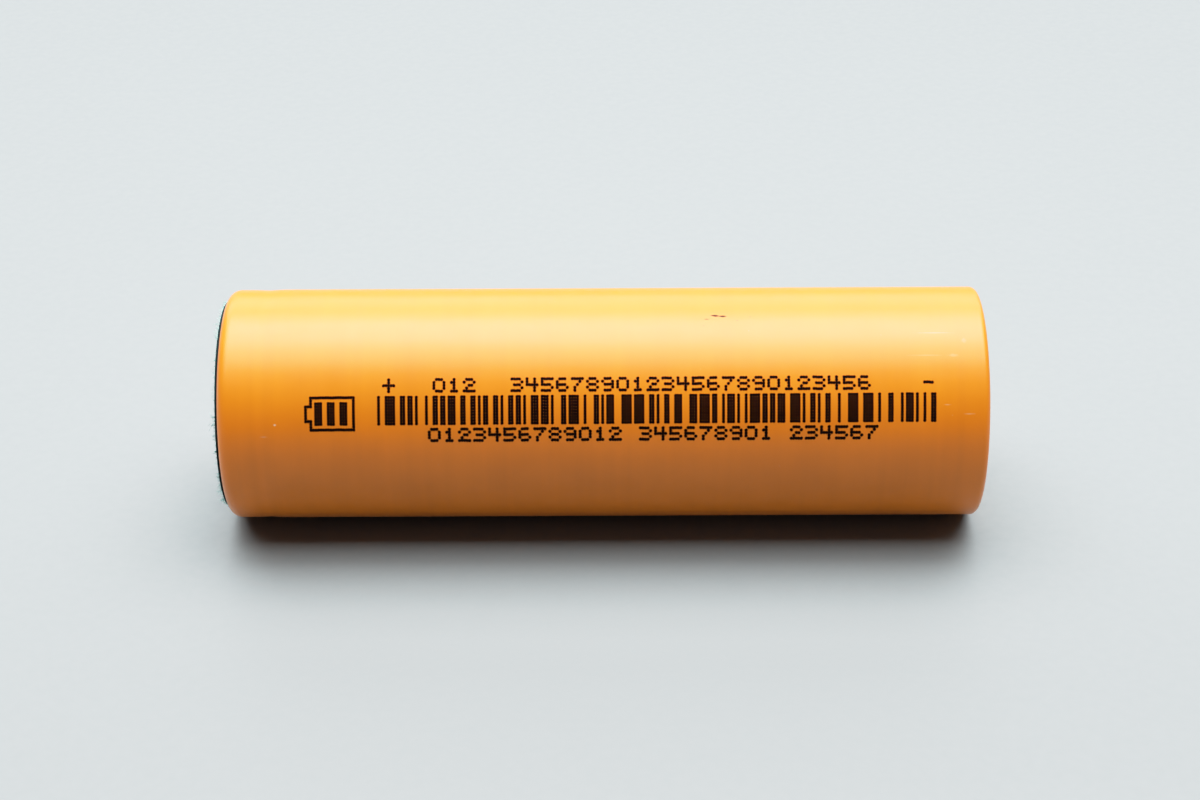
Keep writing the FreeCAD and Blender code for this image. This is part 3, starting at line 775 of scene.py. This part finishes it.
def stamp(dots, picture, column, row):
    for down, line in enumerate(picture):
        dots.update((column + k, row + down) for k, mark in enumerate(line) if mark == "#")


def print_digits(dots, count, column, row, first):
    """Digits in counting order, one to a character."""
    for k in range(count):
        stamp(dots, DIGITS[str((first + k) % 10)], column + CHARACTER * k, row)


def print_bars(dots):
    """A block of bars and gaps of one to four columns, in a seeded order that encodes nothing."""
    chance = random.Random(BAR_SEED)
    column, dark = 0, True
    while column < BAR_COLUMNS:
        width = min(chance.choice(BAR_WIDTHS if dark else GAP_WIDTHS), BAR_COLUMNS - column)
        if dark:
            stamp(dots, ("#" * width,) * BAR_ROWS, column, BAR_ROW)
        column += width
        dark = not dark


def dot_outline(dots, column, row):
    """A dot's eight corners in columns and rows: flush with a neighbour, and spread where it has none."""
    bleed = (DOT_BLEED_LONG / DOT_LONG, DOT_BLEED_ROUND / DOT_ROUND)
    hole = (DOT_HOLE / DOT_LONG, DOT_HOLE / DOT_ROUND)
    rounding = (DOT_ROUNDING / DOT_LONG, DOT_ROUNDING / DOT_ROUND)
    for across, down in ((1, 0), (0, 1), (-1, 0), (0, -1)):
        axis = 0 if across else 1
        joined = (column + across, row + down) in dots
        reach = 0.5 if joined else 0.5 + bleed[axis]
        half = 0.5 - (hole if joined else rounding)[1 - axis]
        for turn in (-1, 1):
            u = column + 0.5 + across * reach - down * turn * half
            v = row + 0.5 + down * reach + across * turn * half
            yield round(u, 3), round(v, 3)


def ink_layer(dots):
    """A closed layer of ink over all the dots, just proud of the film, with its columns a little uneven."""
    chance = random.Random(DRIFT_SEED)
    drift = [chance.uniform(-DOT_DRIFT, DOT_DRIFT) for _ in range(2 * BAR_COLUMNS)]
    builder = bmesh.new()
    corners = {}

    def corner(u, v, height):
        if (u, v, height) not in corners:
            x = BARS_X + u * DOT_LONG
            down = v * DOT_ROUND + drift[round(u) + BAR_COLUMNS // 2] - PRINT_SKEW * (x - BARS_X)
            place = on_cell(x, RADIUS + height, PRINT_TOP_ANGLE - down / RADIUS)
            corners[u, v, height] = builder.verts.new(place)
        return corners[u, v, height]

    # An edge that two dots share needs no wall, so it is dropped when it comes up again.
    walls = {}
    for column, row in sorted(dots):
        outline = list(dot_outline(dots, column, row))
        top = [corner(u, v, INK_HEIGHT) for u, v in outline]
        bottom = [corner(u, v, -2 * INK_HEIGHT) for u, v in outline]
        builder.faces.new(top)
        builder.faces.new(bottom[::-1])
        for k in range(len(outline)):
            n = (k + 1) % len(outline)
            pair = frozenset((top[k], top[n]))
            if pair in walls:
                del walls[pair]
            else:
                walls[pair] = (top[k], top[n], bottom[n], bottom[k])
    for wall in walls.values():
        builder.faces.new(wall)
    return builder


def build_print(material):
    """Marks like a printed cell's, made generic: counting digits, bars, plus, minus and a cell picture."""
    dots = set()
    stamp(dots, CELL_PICTURE, column_at(PICTURE_X), BAR_ROW)
    stamp(dots, PLUS, column_at(PLUS_X), UPPER_ROW)
    stamp(dots, MINUS, column_at(MINUS_X), MINUS_ROW)
    print_bars(dots)
    counted = 0
    for x, count in UPPER_GROUPS:
        print_digits(dots, count, column_at(x), UPPER_ROW, counted)
        counted += count
    column, counted = column_at(LOWER_X), 0
    for count in LOWER_GROUPS:
        print_digits(dots, count, column, LOWER_ROW, counted)
        column += CHARACTER * (count + 1)
        counted += count

    ink = add_object("printed_marks", ink_layer(dots), material, smooth=False)


# ---- Stage, light and camera ---------------------------------------------------------------------


def build_floor():
    builder = bmesh.new()
    bmesh.ops.create_grid(builder, x_segments=8, y_segments=8, size=FLOOR_HALF_SIDE * MM)
    floor = add_object("floor", builder, floor_card(), body=None)


def add_softbox(name, centre, size, power, colour):
    """A rectangular light that faces the cell. Its centre and size are in metres and its power in watts."""
    light = bpy.data.lights.new(name, "AREA")
    light.shape = "RECTANGLE"
    light.size, light.size_y = size
    light.energy = power
    light.color = colour
    made = bpy.data.objects.new(name, light)
    bpy.context.scene.collection.objects.link(made)
    made.location = centre
    made.rotation_mode = "QUATERNION"
    made.rotation_quaternion = (Vector((0.0, 0.0, 0.0)) - Vector(centre)).to_track_quat("-Z", "Y")


def light_scene():
    """A large softbox overhead with a brighter middle, a panel behind the cell, and a dim pale room."""
    add_softbox("softbox", (0.0, 0.098, 0.635), (1.20, 0.77), 16.0, SOFTBOX_WHITE)
    add_softbox("softbox_centre", (0.0, 0.155, 0.58), (0.60, 0.33), 4.1, SOFTBOX_WHITE)
    add_softbox("back_panel", (0.0, 0.78, 0.45), (1.4, 0.42), 6.4, PANEL_WHITE)
    world = bpy.data.worlds.new("room")
    bpy.context.scene.world = world
    world.use_nodes = True
    background = world.node_tree.nodes["Background"]
    background.inputs["Color"].default_value = (*ROOM_WHITE, 1.0)
    background.inputs["Strength"].default_value = ROOM_STRENGTH


def soften_highlights():
    """The camera's response: straight up to middle tones, then a shoulder that ends in white."""
    view = bpy.context.scene.view_settings
    view.view_transform = "Standard"
    view.use_curve_mapping = True
    mapping = view.curve_mapping
    mapping.white_level = (BRIGHTEST, BRIGHTEST, BRIGHTEST)
    _, _, _, response = mapping.curves
    for light, shown in SHOULDER:
        response.points.new(light / BRIGHTEST, shown)
    straight_end = SHOULDER[0][0] / BRIGHTEST
    for bend in response.points:
        bend.handle_type = "VECTOR" if bend.location.x <= straight_end else "AUTO_CLAMPED"
    mapping.update()


def place_camera():
    data = bpy.data.cameras.new("camera")
    data.lens, data.sensor_width = LENS, SENSOR
    data.clip_start, data.clip_end = 0.01, 20.0
    camera = bpy.data.objects.new("camera", data)
    bpy.context.scene.collection.objects.link(camera)
    back = Vector((0.0, -math.cos(CAMERA_ELEVATION), math.sin(CAMERA_ELEVATION)))
    target = point(CAMERA_ACROSS, 0.0, RADIUS + CAMERA_AIM_UP)
    camera.location = target + back * CAMERA_DISTANCE * MM
    camera.rotation_mode = "QUATERNION"
    level = (-back).to_track_quat("-Z", "Y")
    camera.rotation_quaternion = level @ Matrix.Rotation(-CAMERA_ROLL, 3, "Z").to_quaternion()
    bpy.context.scene.camera = camera


# ---- Putting it together -------------------------------------------------------------------------


def dress_nodes():
    for name, material in node_materials().items():
        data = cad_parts[name].data
        data.materials.clear()
        data.materials.append(material)


dress_nodes()
build_sleeve(sleeve_film())
build_washer(washer_paper())
build_fibres(loose_fibre())
build_print(print_ink())
build_floor()
light_scene()
soften_highlights()
place_camera()
